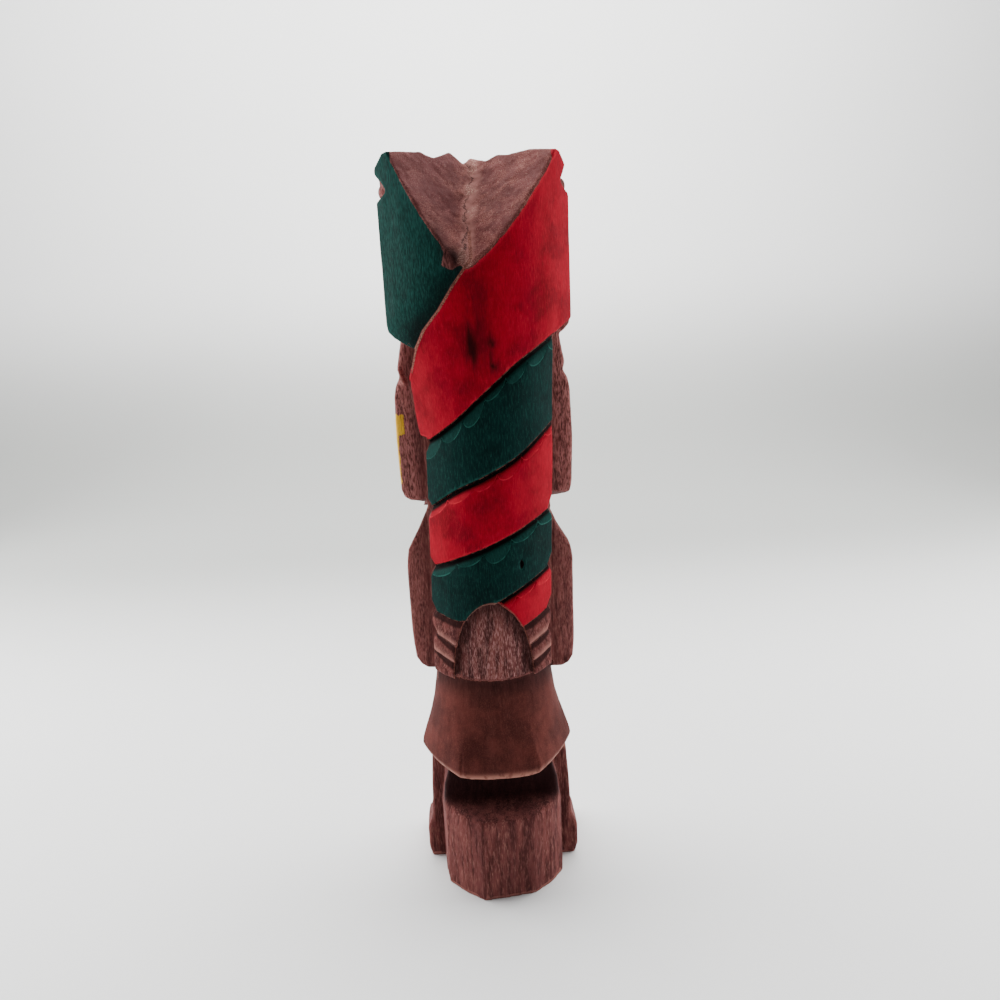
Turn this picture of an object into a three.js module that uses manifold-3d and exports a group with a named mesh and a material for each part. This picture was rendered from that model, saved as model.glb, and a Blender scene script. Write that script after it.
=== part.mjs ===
// Totem pole: a souvenir-sized pole carved from one log of wood, 305 mm tall.
//
// Units are millimetres. +Z is up, the carved faces look along -Y, and the back is +Y.
// The origin is on the ground, in the middle of the pole's box.
//
// From the ground up, the pole has
//   a squatting figure on two feet, with a square tail block behind it, under a wide-brimmed hat;
//   a perched bird: a mask-like face with ears, over a breast between two folded wings;
//   a beaked face under a crown of feathers, between the heads of two serpents.
// The serpents' bodies twist round each other down the back as slanting bands. Each band's upper
// edge tucks under the band above it, and they end in rattles on either side of an arched recess.
// The whole pole is one piece of wood, so the solids below are joined into one.

import * as THREE from "three";
import { mergeVertices } from "three/addons/utils/BufferGeometryUtils.js";
import Module from "manifold-3d";

const wasm = await Module();
wasm.setup();

// ---------------------------------------------------------------- driving dimensions

const HEIGHT = 305;
const SLIVER = 0.02; // edges shorter than this are merged away

// Plans of the rounded back: y = back - round * |x / half| ** power.
const HEAD = { half: 34.3, back: 28, round: 18, power: 2.4 };
const COLUMN = { half: 24.2, back: 27, round: 13, power: 2.2 };
const CORE = { half: 20, back: 23.5, round: 10.5, power: 2 };

const COLUMN_BOTTOM = 103;
const COLUMN_LEAN = -0.027; // sideways per unit of height: the twist leans a little
const COLUMN_PLUMB = 145; // the height at which the twist is on the middle line
const TUCK_DEPTH = 2.8; // how far a band's upper edge lies below the band above it
const TUCK_HEIGHT = 3.6; // height of the bevel that brings it back up
const ARCH = { middle: 1, half: 16, rise: 35 };

// Seams between the bands: heights at five stations across the back, from +X to -X.
const SEAM_STATION = 12;
const SEAMS = [
  { name: "neck", heights: [199.6, 209.3, 220, 229.8, 237.5] },
  { name: "upper green", heights: [173.8, 183.4, 189.6, 196.2, 205.3] },
  { name: "lower red", heights: [150.3, 156.6, 162, 167.4, 172.5] },
  { name: "lower green", heights: [131.8, 130.2, 137.6, 143.6, 149] },
  { name: "last red", heights: [131, 125.5, 124.5, 126.6, 131.3] },
  { name: "first rattle", heights: [121.8, 117, 115, 117, 121] },
  { name: "second rattle", heights: [113.4, 109.3, 108, 108.6, 112.4] },
  { name: "foot", heights: [104.4, 103, 102.6, 103, 104.2] },
];
const RATTLE_SEAMS = 5; // from this seam down, a bevel takes up nearly the whole band

const WHOLE_WIDTH = [0, 1];
const LEFT_HALF = [0.5, 1];
const RIGHT_HALF = [0, 0.5];

// Heads of the serpents, outlines in front view [x, z].
const NECK = { bottom: 200, top: 245 };
const NECK_SIDE = [[23.7, 200.5], [24.8, 206], [25.8, 213.5], [26.6, 222.8], [26.3, 226.5], [23.4, 235.7]];
const HEAD_JAW = [[26.2, 236.9], [29.1, 238.4], [31.7, 239.8], [33.8, 242], [34.3, 244.4]];
const NECK_EDGE = [[2.5, 266.5], [9.1, 258], [14.7, 249.7], [20.4, 243], [23.8, 236.4], [28, 222]];
const NECK_BEVEL = { width: 13, across: [0.862, 0.507], depths: [0.2, 1.1, 1.8, 2.2, 2.5, 2.5] };
const CREST = [
  [-40, 286], [-34.3, 294.6], [-32.6, 296.9], [-30.2, 301.4], [-21.1, 303.4], [-13.6, 302.4],
  [-10.3, 303.4], [-6.1, 301.2], [-0.3, 303.2], [2.4, 300.6], [7.5, 305], [13.3, 302], [18.5, 303.9],
  [30.8, 302.6], [34.4, 298], [40, 290],
];
// The hollow between the heads: it rises forward from its foot, and sideways up each flank.
const HOLLOW = {
  foot: [4.6, 264.6], rise: 0.98, leftFlank: 1.12, rightFlank: 0.88, round: 2.6, drift: 0.14,
};
// Front view of the notch behind each serpent's eye, [x, z].
const LEFT_NOTCH = [[30.3, 290.2], [34.1, 287.2], [40, 282.5], [40, 300.4], [34.5, 296.1], [32.7, 294.5]];
const RIGHT_NOTCH = [[-30.6, 291.3], [-31.9, 294.9], [-32.6, 296.9], [-40, 301], [-40, 283], [-33.3, 288.2]];

// The slab that carries the figures: its faces in Y, and half its outline in front view [x, z].
const SLAB_BACK = 7;
const SLAB_FRONT = -18;
const SLAB_SIDE = [
  [28.6, 101], [31.4, 102.8], [33.2, 106], [33.8, 113], [34, 132], [34.2, 150], [33.4, 155], [32.4, 157.6],
  [28.4, 163.6], [25, 171], [25.4, 172.2], [28.4, 173.6], [32.8, 176.4], [34, 180.4], [34.4, 200], [34, 217],
  [33, 221.6], [31.2, 224.8], [32, 228], [30, 238], [29.4, 245],
];
const SLAB_TILT = 0.055; // the +X side of the lower slab is a little higher
const SHOULDER_FALL = 0.4; // the wings' shoulders slope down towards the front

// The carved faces stand out from the slab in layers.
const LAYER = { cheek: -20.5, brow: -23, lip: -22.5, nose: -26, tip: -28.6 };

const HAT = { halfWidth: 33, halfDepth: 30, top: 104, middle: 0.7, facets: 6 };
const BLOCK = { half: 25.4, height: 40, top: 60, neckHalf: 21.3 };
const LEG_BACK = { left: -1.5, right: 3 };

// ---------------------------------------------------------------- small helpers

const lerp = THREE.MathUtils.lerp;
const smooth = (t) => THREE.MathUtils.smoothstep(t, 0, 1);
const mirrorX = (points) => points.map(([x, z]) => [-x, z]).reverse();
const bothSides = (points) => [...points, ...mirrorX(points)];
const backOf = (plan, x) => plan.back - plan.round * Math.abs(x / plan.half) ** plan.power;
const columnMiddle = (z) => COLUMN_LEAN * (z - COLUMN_PLUMB);

// A closed three.js geometry as a manifold solid.
function solid(geometry) {
  const bare = geometry.clone();
  bare.deleteAttribute("normal");
  bare.deleteAttribute("uv");
  const merged = mergeVertices(bare, 1e-4);
  return new wasm.Manifold(
    new wasm.Mesh({
      numProp: 3,
      vertProperties: new Float32Array(merged.attributes.position.array),
      triVerts: new Uint32Array(merged.index.array),
    }),
  );
}

// A manifold solid as a three.js geometry, without the slivers that cuts leave.
function geometryOf(made) {
  const mesh = made.simplify(SLIVER).getMesh();
  const geometry = new THREE.BufferGeometry();
  geometry.setAttribute("position", new THREE.BufferAttribute(mesh.vertProperties, mesh.numProp));
  geometry.setIndex(new THREE.BufferAttribute(mesh.triVerts, 1));
  geometry.computeVertexNormals();
  return geometry;
}

const join = (solids) => solids.reduce((all, one) => all.add(one));

// Both a solid and its mirror image in the pole's middle plane.
const paired = (made) => made.add(made.mirror([1, 0, 0]));

// An outline pushed along an axis, with its edges cut back by bevel.
function extruded(points, depth, bevel) {
  const shape = new THREE.Shape(points.map(([a, b]) => new THREE.Vector2(a, b)));
  return new THREE.ExtrudeGeometry(shape, {
    depth: depth - 2 * bevel,
    bevelEnabled: bevel > 0,
    bevelThickness: bevel,
    bevelSize: bevel,
    bevelOffset: -bevel,
    bevelSegments: 1,
  }).translate(0, 0, bevel);
}

const FRONT_VIEW = new THREE.Matrix4().makeRotationX(Math.PI / 2);
const SIDE_VIEW = new THREE.Matrix4().makeBasis(
  new THREE.Vector3(0, 1, 0),
  new THREE.Vector3(0, 0, 1),
  new THREE.Vector3(1, 0, 0),
);

// Front view outline [x, z] from y0 to y1; side view outline [y, z] from x0 to x1; plan [x, y].
const fromFront = (points, y0, y1, bevel = 0) =>
  solid(extruded(points, y1 - y0, bevel).applyMatrix4(FRONT_VIEW).translate(0, y1, 0));
const fromSide = (points, x0, x1, bevel = 0) =>
  solid(extruded(points, x1 - x0, bevel).applyMatrix4(SIDE_VIEW).translate(x0, 0, 0));
const fromAbove = (points, z0, z1, bevel = 0) =>
  solid(extruded(points, z1 - z0, bevel).translate(0, 0, z0));

// A box of nu by nv by nw cells whose corners (u, v, w), each 0 to 1, are moved to place(u, v, w).
function shaped([nu, nv, nw], place) {
  const box = new THREE.BoxGeometry(1, 1, 1, nu, nv, nw);
  const corner = box.attributes.position;
  for (let i = 0; i < corner.count; i += 1) {
    corner.setXYZ(i, ...place(corner.getX(i) + 0.5, corner.getY(i) + 0.5, corner.getZ(i) + 0.5));
  }
  return solid(box);
}

function ellipsoid([x, y, z], [rx, ry, rz], around = 14, down = 8) {
  const ball = new THREE.SphereGeometry(1, around, down).rotateX(Math.PI / 2);
  return solid(ball.scale(rx, ry, rz).translate(x, y, z));
}

// An arc of points [x, z] round a centre, from one angle to another, in degrees from +X.
function arc([cx, cz], rx, rz, from, to, steps) {
  return Array.from({ length: steps + 1 }, (_, i) => {
    const angle = THREE.MathUtils.degToRad(lerp(from, to, i / steps));
    return [cx + rx * Math.cos(angle), cz + rz * Math.sin(angle)];
  });
}

// The knife's V-shaped cut from one point to another, in a face that looks along outward.
function veeCut(from, to, outward, width, depth) {
  const start = new THREE.Vector3(...from);
  const along = new THREE.Vector3(...to).sub(start);
  const out = new THREE.Vector3(...outward);
  const across = out.clone().cross(along).normalize();
  return shaped([1, 1, 1], (u, v, w) => {
    const half = w > 0.5 ? width * (0.5 + 0.5 / depth) : 0.05;
    const corner = start.clone().addScaledVector(along, u).addScaledVector(across, (2 * v - 1) * half);
    return corner.addScaledVector(out, w > 0.5 ? 1 : -depth).toArray();
  });
}

const FORWARD = [0, -1, 0];
const frontCut = ([x0, z0], [x1, z1], y, width, depth) =>
  veeCut([x0, y, z0], [x1, y, z1], FORWARD, width, depth);

// Plan outline with the rounded back of plan and a straight front at front.
function roundedPlan(plan, front, steps = 16) {
  const back = Array.from({ length: steps + 1 }, (_, i) => {
    const share = Math.cos((i / steps) * Math.PI);
    return [plan.half * share, backOf(plan, plan.half * share)];
  });
  return [[-plan.half, front], [plan.half, front], ...back];
}

// ---------------------------------------------------------------- the twist on the back

// Height of a seam at distance x from the middle: a smooth curve through its stations.
function seamHeight({ heights }, x) {
  const place = THREE.MathUtils.clamp(2 - x / SEAM_STATION, -0.9, 4.9);
  const from = THREE.MathUtils.clamp(Math.floor(place), 0, 3);
  const t = place - from;
  const at = (i) => heights[THREE.MathUtils.clamp(i, 0, 4)];
  const slopeIn = (at(from + 1) - at(from - 1)) / (from > 0 ? 2 : 1);
  const slopeOut = (at(from + 2) - at(from)) / (from < 3 ? 2 : 1);
  const [a, b] = [at(from), at(from + 1)];
  if (t < 0) return a + slopeIn * t;
  if (t > 1) return b + slopeOut * (t - 1);
  const bend = 3 * (b - a) - 2 * slopeIn - slopeOut;
  const turn = slopeIn + slopeOut - 2 * (b - a);
  return a + t * slopeIn + t * t * bend + t * t * t * turn;
}

// One band of the twist between two seams, over a share of the column's width, 0 to 1 from -X.
function band(above, below, [from, to]) {
  const rattle = SEAMS.indexOf(below) >= RATTLE_SEAMS;
  return shaped([Math.round(16 * (to - from)), 3, 1], (u, v, w) => {
    const across = -COLUMN.half * Math.cos(lerp(from, to, u) * Math.PI);
    const top = seamHeight(above, across + columnMiddle(above.heights[2]));
    const bottom = seamHeight(below, across + columnMiddle(below.heights[2]));
    const tuck = rattle ? 0.8 * (top - bottom) : Math.min(TUCK_HEIGHT, 0.6 * (top - bottom));
    const row = Math.round(v * 3);
    const z = [bottom, bottom + 0.9, top - tuck, top][row];
    const sunk = [0.7, 0, 0, TUCK_DEPTH][row];
    const y = w > 0.5 ? SLAB_BACK - 4 : backOf(COLUMN, across) - sunk;
    return [columnMiddle(z) + across, y, z];
  });
}

function twist() {
  const [neck, upperGreen, lowerRed, lowerGreen, lastRed, firstRattle, secondRattle, foot] = SEAMS;
  const runs = [
    [WHOLE_WIDTH, [neck, upperGreen, lowerRed, lowerGreen]],
    [LEFT_HALF, [lowerGreen, firstRattle, secondRattle, foot]],
    [RIGHT_HALF, [lowerGreen, lastRed, firstRattle, secondRattle, foot]],
  ];
  const bands = runs.flatMap(([share, seams]) =>
    seams.slice(1).map((below, i) => band(seams[i], below, share)),
  );
  const { middle, half, rise } = ARCH;
  const crown = arc([middle, COLUMN_BOTTOM], half, rise, 0, 180, 16);
  const sill = [[middle - half, COLUMN_BOTTOM - 5], [middle + half, COLUMN_BOTTOM - 5]];
  const arch = fromFront([...crown, ...sill], SLAB_BACK, 40);
  const core = fromAbove(roundedPlan(CORE, SLAB_FRONT + 2), COLUMN_BOTTOM, 245);
  return join(bands).subtract(arch).add(core);
}

// ---------------------------------------------------------------- the serpents' heads

// The back of the heads and of the red neck, which narrows to the column.
function headBack(x, z) {
  const share = smooth((z - NECK.bottom) / (NECK.top - NECK.bottom));
  return lerp(backOf(COLUMN, x), backOf(HEAD, x), share);
}

function headBlock() {
  const back = shaped([18, 6, 1], (u, v, w) => {
    const x = -HEAD.half * Math.cos(u * Math.PI);
    const z = lerp(NECK.bottom - 5, HEIGHT, v);
    return [x, w > 0.5 ? SLAB_BACK - 4 : headBack(x, z), z];
  });
  const neckSeam = Array.from({ length: 9 }, (_, i) => {
    const x = lerp(-HEAD.half, NECK_SIDE[0][0], i / 8);
    return [x, i === 8 ? NECK_SIDE[0][1] : seamHeight(SEAMS[0], x)];
  });
  const outline = [...neckSeam, ...NECK_SIDE.slice(1), ...HEAD_JAW, [HEAD.half, 310], [-HEAD.half, 310]];
  const front = fromFront(bothSides([[20, 235], ...HEAD_JAW, [HEAD.half, HEIGHT]]), SLAB_FRONT, SLAB_BACK);
  return back.intersect(fromFront(outline, -10, 40)).add(front);
}

// Height of the hollow that slopes down from the crown to the middle of the back.
function hollowHeight(x, y) {
  const forward = HEAD.back - y;
  const aside = x - (HOLLOW.foot[0] - HOLLOW.drift * forward);
  const flank = aside > 0 ? HOLLOW.leftFlank : HOLLOW.rightFlank;
  return HOLLOW.foot[1] + HOLLOW.rise * forward + flank * (Math.hypot(aside, HOLLOW.round) - HOLLOW.round);
}

function aboveHollow() {
  return shaped([26, 7, 1], (u, v, w) => {
    const x = lerp(-38, 38, u);
    const y = lerp(-34, 38, v);
    return [x, y, w > 0.5 ? HEIGHT + 100 : hollowHeight(x, y)];
  });
}

// The neck lies over the green head: a bevel cut into the green along the neck's upper edge.
function neckGroove() {
  const steps = NECK_EDGE.length - 1;
  return shaped([3 * steps, 3, 1], (u, v, w) => {
    const from = Math.min(Math.floor(u * steps + 1e-9), steps - 1);
    const share = u * steps - from;
    const edge = [0, 1].map((axis) => lerp(NECK_EDGE[from][axis], NECK_EDGE[from + 1][axis], share));
    const reach = NECK_BEVEL.width * (1 - v);
    const x = edge[0] + NECK_BEVEL.across[0] * reach;
    const z = edge[1] + NECK_BEVEL.across[1] * reach;
    const deepest = lerp(NECK_BEVEL.depths[from], NECK_BEVEL.depths[from + 1], share);
    const depth = (deepest + 0.5) * v - 0.5;
    return [x, w > 0.5 ? 45 : headBack(x, z) - depth, z];
  });
}

// The serpents' heads in profile look forward, with an eye in a notch cut in from the rear edge.
function serpents() {
  const muzzle = [
    [SLAB_BACK, HEIGHT], [-10, HEIGHT], [-17, 299], [-21, 289], [-26, 281], [-27, 272], [-25.5, 266],
    [-26, 262], [-24, 252], [-19, 245], [-12, 243.5], [SLAB_BACK, 244.4],
  ];
  const mouth = [[-32, 263.5], [-32, 267.5], [-12, 267.2], [-3, 264.5], [-2, 262.5], [-12, 264]];
  const fang = [[-22.5, 268], [-20, 268], [-21.6, 259]];
  const lids = [[-13, 290], [-6, 286], [14, 281], [14, 302], [-6, 297]];
  const notches = join([LEFT_NOTCH, RIGHT_NOTCH].map((notch) => fromFront(notch, -20, 40)));
  const openEyes = notches.intersect(paired(fromSide(lids, 26, 45)));
  const nostril = veeCut([HEAD.half, -24, 275], [HEAD.half, -21, 279], [1, 0, 0], 2, 1.2);
  const brow = veeCut([HEAD.half, -16, 284], [HEAD.half, 2, 281], [1, 0, 0], 1.6, 1);
  const jaws = paired(fromSide(mouth, 26, 40));
  const eye = ellipsoid([31.4, 1, 291], [2.9, 4.2, 3.1]);
  return {
    heads: paired(fromSide(muzzle, 18, HEAD.half, 1).subtract(join([nostril, brow]))),
    cuts: jaws.add(openEyes),
    eyesAndFangs: paired(eye.add(fromSide(fang, 28, 32))),
  };
}

// The beaked face between the serpents, and the three feathers of its crown.
function beakedFace() {
  const { cheek, brow, tip } = LAYER;
  const plate = fromFront([[-18, 240], [18, 240], [18, 286], [-18, 286]], cheek, -5, 1);
  const feathers = [[-18, -5.9], [-5.9, 2.7], [2.7, 18]].map(([x0, x1]) => {
    const outline = [[x0, 305], [x0, 288], [(x0 + x1) / 2, 284], [x1, 288], [x1, 305]];
    return fromFront(outline, brow + 1, -5, 1.2);
  });
  const browLine = [[1.2, 272], [8, 274], [16.5, 279], [16, 283], [7, 280], [1.2, 277]];
  const browBar = fromFront(browLine, brow, -5, 0.8);
  const eye = ellipsoid([9.6, cheek, 268.6], [5, 2.2, 3.6]);
  const beak = fromSide(
    [
      [-15, 276], [cheek - 1, 275], [-26, 270], [tip, 261], [tip, 254], [-26.5, 249], [-24.5, 254.5],
      [-15, 255],
    ],
    -4.6, 4.6, 1.4,
  );
  const jaw = fromFront([[-13, 249], [-9, 245], [9, 245], [13, 249], [12, 253], [-12, 253]], brow, -5, 0.9);
  const tongueLine = frontCut([-15, 256], [15, 256], cheek, 2.6, 1.6);
  const slope = [[-6, HEIGHT + 1], [-24, 293], [-40, 293], [-40, 320], [-6, 320]];
  const crown = join(feathers).subtract(fromSide(slope, -20, 20));
  return join([plate.subtract(tongueLine), crown, paired(browBar), paired(eye), jaw, beak]);
}

// ---------------------------------------------------------------- the perched bird

function mask() {
  const { cheek, brow, lip, nose } = LAYER;
  const face = fromFront(
    bothSides([[10, 178.5], [19, 184], [22.5, 196], [22.5, 216], [19, 232]]), cheek, -5, 1.2,
  );
  const socket = ellipsoid([10.8, cheek - 1.2, 208.5], [7.6, 3.4, 6.4]);
  const eye = ellipsoid([10.8, cheek + 0.6, 208.2], [5.2, 2.4, 4.2]);
  const browLine = [[1.5, 214], [12, 217.5], [20.5, 213.5], [21, 219], [12, 224.5], [1.5, 220]];
  const browBar = fromFront(browLine, brow, -5, 0.9);
  const noseLine = [[-15, 219], [brow, 219], [nose, 203], [nose, 198.5], [cheek + 1, 196], [-15, 196]];
  const bridge = fromSide(noseLine, -3.6, 3.6, 1);
  const nostrils = fromFront([[2, 197], [6.4, 197.4], [6.6, 201], [2.6, 204]], brow - 0.5, -5, 0.8);
  const lips = fromFront(bothSides([[12, 181.5], [17, 187], [14, 192.5]]), lip, -5, 0.9);
  const mouth = fromFront(bothSides([[10.5, 184.6], [14, 187.2], [11, 189.6]]), -40, cheek + 1.2);
  const teeth = [-7.5, -2.5, 2.5, 7.5].map((x) =>
    fromFront([[x - 2.1, 185], [x + 2.1, 185], [x + 2.1, 189.2], [x - 2.1, 189.2]], cheek - 0.6, -5, 0.5),
  );
  const ear = fromFront([[24, 203], [32.4, 204], [33.6, 214], [30, 223], [29, 235], [24, 238]], cheek, -5, 1);
  const earHollow = fromFront([[26, 207], [30.6, 208], [31.2, 213], [27.4, 229]], -40, cheek + 1.4);
  const cheekCut = frontCut([24, 182], [24, 202], -18, 2, 1.4);
  const hollows = join([mouth, paired(earHollow)]);
  const carved = join([face.subtract(paired(socket)), lips, paired(ear)]).subtract(hollows);
  return {
    added: join([carved, paired(join([browBar, eye, nostrils])), bridge, ...teeth]),
    cuts: paired(cheekCut),
  };
}

// Feathered breast between two folded wings, over the claws that grip the hat.
function breastAndWings() {
  const { cheek, lip } = LAYER;
  const breast = fromFront(bothSides([[9, 108], [13.5, 118], [14, 160], [8, 167]]), cheek, -5, 1.4);
  const rows = [157, 147, 137, 127, 117];
  const scallops = rows.flatMap((z, row) => {
    const offsets = row % 2 ? [-8, 0, 8] : [-4, 4];
    return offsets.flatMap((x) => [
      frontCut([x - 4, z + 3], [x, z - 2], cheek, 1.5, 1),
      frontCut([x, z - 2], [x + 4, z + 3], cheek, 1.5, 1),
    ]);
  });
  const wing = fromFront(
    [[16, 150], [18, 161], [25, 164], [32.6, 157], [34, 150], [34, 113], [31, 105], [24, 103], [19, 112]],
    lip, -5, 1,
  );
  const shoulder = frontCut([17, 146], [34, 149], lip, 2.4, 1.6);
  const quills = [[22, 137], [26.5, 130], [30.6, 122]].map(([x, z]) =>
    frontCut([x, z - 26], [x + 1.2, 147], lip, 1.8, 1.4),
  );
  const tips = [137, 130, 121].map((z) => frontCut([26, z - 5], [35, z], lip, 1.8, 1.2));
  const toes = [4, 8.6, 13.2].map((x) => ellipsoid([x, -20.5, 106.5], [2.2, 4.2, 4.6], 10, 6));
  const feathered = breast.subtract(join(scallops));
  return join([feathered, paired(wing.subtract(join([shoulder, ...quills, ...tips]))), paired(join(toes))]);
}

// Small nicks that the feather cuts leave in the slab's edge.
function edgeNicks() {
  return join([149, 137, 130].map((z) => fromFront([[33.4, z], [36, z - 1.6], [36, z + 1.6]], -40, 40)));
}

// ---------------------------------------------------------------- the hat and the squatting figure

function hat() {
  const profile = [
    [0, 57], [28.8, 57.5], [31.6, 59.4], [33, 62.4], [32.2, 66], [30.3, 72], [28.1, 79], [26.3, 86],
    [24.8, 97], [24, HAT.top], [0, HAT.top],
  ];
  const turned = new THREE.LatheGeometry(profile.map(([r, z]) => new THREE.Vector2(r, z)), 44);
  turned.rotateX(Math.PI / 2);
  // The knife left broad flat facets all round, with a corner at each side. They fade out upwards.
  const corner = turned.attributes.position;
  for (let i = 0; i < corner.count; i += 1) {
    const [x, y, z] = [corner.getX(i), corner.getY(i), corner.getZ(i)];
    const fromFlat = Math.abs(((Math.atan2(y, x) / Math.PI) * HAT.facets) / 2 + 100) % 1;
    const flat = Math.cos(Math.PI / HAT.facets) / Math.cos(((fromFlat - 0.5) * 2 * Math.PI) / HAT.facets);
    const scale = lerp(lerp(1, flat, 0.62), 1, smooth((z - 60) / 30));
    corner.setXYZ(i, x * scale + HAT.middle, (y * scale * HAT.halfDepth) / HAT.halfWidth, z);
  }
  return solid(turned);
}

// The square tail block, with a hollow scooped out of its top below the hat's brim.
function tailBlock() {
  const { half, height, top, neckHalf } = BLOCK;
  const plan = [
    [-half, SLAB_FRONT], [half, SLAB_FRONT], [half + 1.2, 7], [25, 15.8], [18.4, 22.4], [9.8, 28.6],
    [-1, 27.7], [-12.4, 26.2], [-20.4, 20.4], [-26, 13.4], [-half - 0.6, 8],
  ];
  const sides = bothSides([[30, -1], [30, 30], [half, height], [24.6, 48], [22.8, 54], [neckHalf, top]]);
  const scoop = [
    [40, height - 1], [28, height - 0.6], [21, height + 0.5], [16.6, height + 2], [14.4, height + 5],
    [13.2, height + 10], [12.6, height + 16], [12.5, top + 1], [40, top + 1],
  ];
  const block = fromAbove(plan, 0, top).intersect(fromFront(sides, -40, 40));
  return block.subtract(fromSide(scoop, -40, 40));
}

function squattingFigure() {
  const { cheek, brow, lip, nose, tip } = LAYER;
  const legOutline = [
    [20, 0], [33.4, 0], [34.6, 5], [34.6, 15], [33, 19], [32, 23], [31.3, 38], [29.8, 56], [29, 62], [20, 62],
  ];
  const leftLeg = fromFront(legOutline, -16, LEG_BACK.left, 1);
  const rightLeg = fromFront(legOutline, -16, LEG_BACK.right, 1).mirror([1, 0, 0]);
  const knee = fromSide([[-10, 6], [-24, 8], [-25.4, 22], [-23, 30], [-17, 35], [-10, 36]], 20.5, 31.4, 1.4);
  const footLine = [[-3, 0], [tip, 0], [tip, 6], [-25, 12], [-16, 17], [-3, 15]];
  const foot = fromSide(footLine, 11, 34.4, 1.2);
  const toeCuts = [17, 23, 29].map((x) => veeCut([x, -31, 1], [x, -19, 15.5], [0, -0.5, 0.87], 2.4, 2));
  const hand = fromFront([[12, 24], [25, 22.5], [28, 27], [27, 33], [12, 32]], -25.6, -10, 1.2);
  const fingerCuts = [25.6, 28.2, 30.8].map((z) => frontCut([11, z], [21, z - 0.4], -25.6, 1.2, 1));
  const face = fromFront(bothSides([[9, 25], [17, 31], [20.5, 42], [20.5, 60]]), cheek, -5, 1.2);
  const socket = ellipsoid([9.4, cheek - 1, 48.6], [6.2, 3, 4.8]);
  const eye = ellipsoid([9.4, cheek + 0.5, 48.4], [4.2, 2.1, 3]);
  const browBar = fromFront([[1.2, 52], [10, 54.5], [18, 51.5], [18, 60], [1.2, 60]], brow, -5, 0.8);
  const noseLine = [[-15, 55], [brow, 55], [nose, 44], [nose, 41], [cheek, 39.5], [-15, 39.5]];
  const bridge = fromSide(noseLine, -3.2, 3.2, 0.9);
  const lips = fromFront(bothSides([[9, 29.5], [13.6, 33.4], [10.5, 37]]), lip, -5, 0.8);
  const mouthLine = frontCut([-12, 33.4], [12, 33.4], lip, 2.2, 1.8);
  const limbs = paired(join([knee, foot, hand]).subtract(join([...toeCuts, ...fingerCuts])));
  const features = join([lips.subtract(mouthLine), bridge, paired(join([eye, browBar]))]);
  const head = face.subtract(paired(socket)).add(features);
  return join([limbs, leftLeg, rightLeg, head]);
}

// ---------------------------------------------------------------- the whole pole

// The slab's outline, a little aslant, with the wings' shoulders sloping down towards the front.
function figureSlab() {
  const outline = bothSides(SLAB_SIDE).map(([x, z]) => (z > 178 ? [x - 0.15, z] : [x, z - 0.6 + SLAB_TILT * x]));
  const slab = fromFront(outline, SLAB_FRONT, SLAB_BACK, 0.8);
  const shoulder = [
    [42, 140], [42, 176], [24, 176], [24, 173], [28.6, 163.6], [33.2, 155], [34.5, 146], [34.5, 140],
  ];
  const raked = extruded(shoulder, 50, 0).applyMatrix4(FRONT_VIEW).translate(0, SLAB_BACK, 0);
  const rake = new THREE.Matrix4().makeShear(0, 0, 0, SHOULDER_FALL, 0, 0);
  const lift = new THREE.Matrix4().makeTranslation(0, 0, -SHOULDER_FALL * SLAB_BACK + 0.6);
  return { slab, aboveShoulders: paired(solid(raked.applyMatrix4(rake).applyMatrix4(lift))) };
}

function totemPole() {
  const serpent = serpents();
  const maskParts = mask();
  const { slab, aboveShoulders } = figureSlab();
  const trunk = fromAbove([[-23, -15], [23, -15], [23, 8], [-23, 8]], 101, 262);
  const rearHeads = headBlock().subtract(neckGroove());
  const heads = join([rearHeads, serpent.heads, beakedFace()]).subtract(serpent.cuts);
  const aboveCrest = fromFront([...CREST, [40, 420], [-40, 420]], -45, 45);
  const top = heads.subtract(aboveHollow()).subtract(aboveCrest).add(serpent.eyesAndFangs);
  const bird = join([slab.subtract(maskParts.cuts), maskParts.added, breastAndWings()]);
  const shapedBird = bird.subtract(aboveShoulders).subtract(edgeNicks());
  const base = join([hat(), tailBlock(), squattingFigure()]);
  return join([trunk, twist(), top, shapedBird, base]);
}

const stainedWood = new THREE.MeshStandardMaterial({ color: 0x74474a, roughness: 0.72, metalness: 0 });
const pole = new THREE.Mesh(geometryOf(totemPole()), stainedWood);
pole.name = "totem_pole";

const part = new THREE.Group();
part.name = "totem_pole_part";
part.add(pole);

export default part;
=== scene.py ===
# The looks of a small carved and painted totem pole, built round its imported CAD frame.
# Lengths are millimetres in the carving code, and metres in every Blender object.
import math
from types import SimpleNamespace

import bpy
import numpy as np
from mathutils import Matrix, Vector


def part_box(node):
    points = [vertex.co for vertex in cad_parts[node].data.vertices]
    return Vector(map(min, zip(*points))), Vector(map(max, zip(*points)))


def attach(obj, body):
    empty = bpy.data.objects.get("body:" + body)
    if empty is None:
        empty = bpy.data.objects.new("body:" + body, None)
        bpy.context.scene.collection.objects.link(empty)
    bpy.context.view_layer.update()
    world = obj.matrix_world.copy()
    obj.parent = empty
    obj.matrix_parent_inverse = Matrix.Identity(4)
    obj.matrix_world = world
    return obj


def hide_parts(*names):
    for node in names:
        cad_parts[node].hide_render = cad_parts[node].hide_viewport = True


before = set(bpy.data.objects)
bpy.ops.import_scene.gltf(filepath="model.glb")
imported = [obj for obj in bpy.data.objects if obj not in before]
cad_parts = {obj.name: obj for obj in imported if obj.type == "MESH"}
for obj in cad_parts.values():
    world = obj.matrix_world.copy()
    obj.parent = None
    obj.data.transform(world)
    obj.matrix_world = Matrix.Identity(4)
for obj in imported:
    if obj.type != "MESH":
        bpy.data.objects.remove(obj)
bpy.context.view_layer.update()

# ---------------------------------------------------------------- dimensions shared with the CAD

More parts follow.
